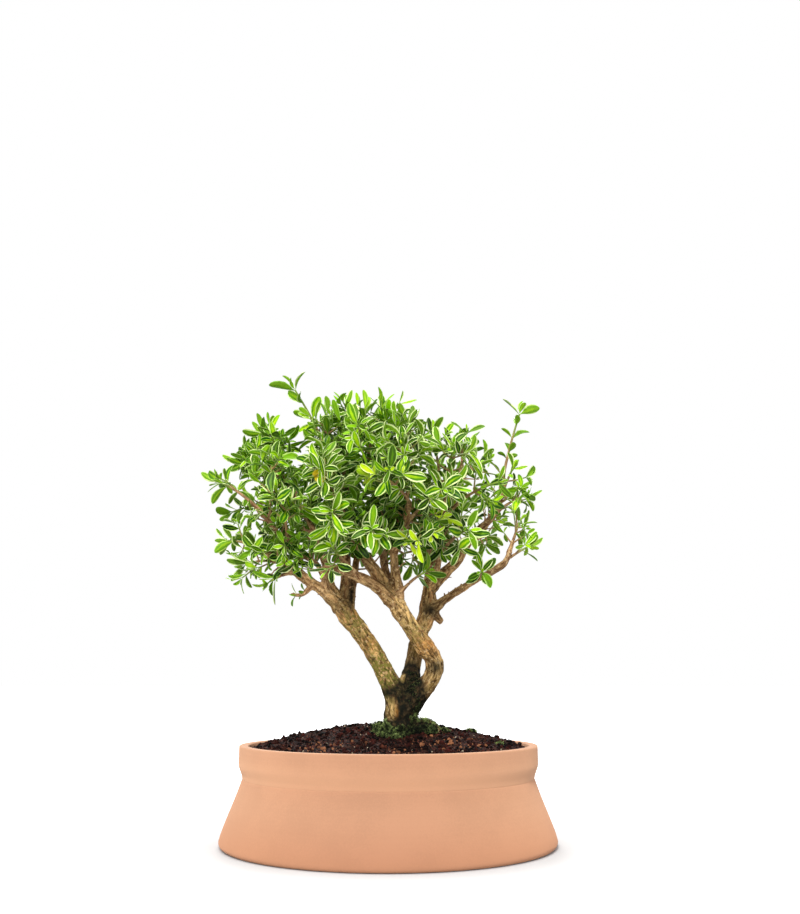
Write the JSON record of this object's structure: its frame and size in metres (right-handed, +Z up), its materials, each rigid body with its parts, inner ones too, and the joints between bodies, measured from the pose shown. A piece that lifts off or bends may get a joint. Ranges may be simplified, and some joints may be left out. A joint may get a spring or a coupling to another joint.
{
  "type": "variegated serissa bonsai in a terracotta pot",
  "caption": "Small flowering-shrub bonsai with cream-edged leaves on twisted stems, growing in mounded soil in a low round flared terracotta pot.",
  "frame": {"origin": "centre of the pot's flat underside, where the part rests", "axes": "+Z up along the pot's axis, -Y towards the front that the picture shows, +X to the right of that view"},
  "size_m": [0.2613, 0.2352, 0.3401],
  "materials": {
    "terracotta": "matte",
    "screen_plastic": "matte",
    "soil": "matte",
    "bark": "matte",
    "leaf": "satin"
  },
  "bodies": {
    "root": {"pot": "terracotta", "drain_screen_1": "screen_plastic", "drain_screen_2": "screen_plastic", "drain_screen_3": "screen_plastic", "soil": "soil", "trunk_and_branches": "bark", "leaf_spray_01": "leaf", "leaf_spray_02": "leaf", "leaf_spray_03": "leaf", "leaf_spray_04": "leaf", "leaf_spray_05": "leaf", "leaf_spray_06": "leaf", "leaf_spray_07": "leaf", "leaf_spray_08": "leaf", "leaf_spray_09": "leaf", "leaf_spray_10": "leaf", "leaf_spray_11": "leaf", "leaf_spray_12": "leaf", "leaf_spray_13": "leaf", "leaf_spray_14": "leaf", "leaf_spray_15": "leaf", "leaf_spray_16": "leaf", "leaf_spray_17": "leaf", "leaf_spray_18": "leaf", "leaf_spray_19": "leaf", "leaf_spray_20": "leaf", "leaf_spray_21": "leaf", "leaf_spray_22": "leaf", "leaf_spray_23": "leaf", "leaf_spray_24": "leaf", "leaf_spray_25": "leaf", "leaf_spray_26": "leaf", "leaf_spray_27": "leaf", "leaf_spray_28": "leaf", "leaf_spray_29": "leaf", "leaf_spray_30": "leaf", "leaf_spray_31": "leaf", "leaf_spray_32": "leaf", "leaf_spray_33": "leaf", "leaf_spray_34": "leaf", "leaf_spray_35": "leaf", "leaf_spray_36": "leaf", "leaf_spray_37": "leaf", "leaf_spray_38": "leaf", "leaf_spray_39": "leaf", "leaf_spray_40": "leaf", "leaf_spray_41": "leaf", "leaf_spray_42": "leaf", "leaf_spray_43": "leaf", "leaf_spray_44": "leaf", "leaf_spray_45": "leaf", "leaf_spray_46": "leaf", "leaf_spray_47": "leaf"}
  },
  "joints": []
}
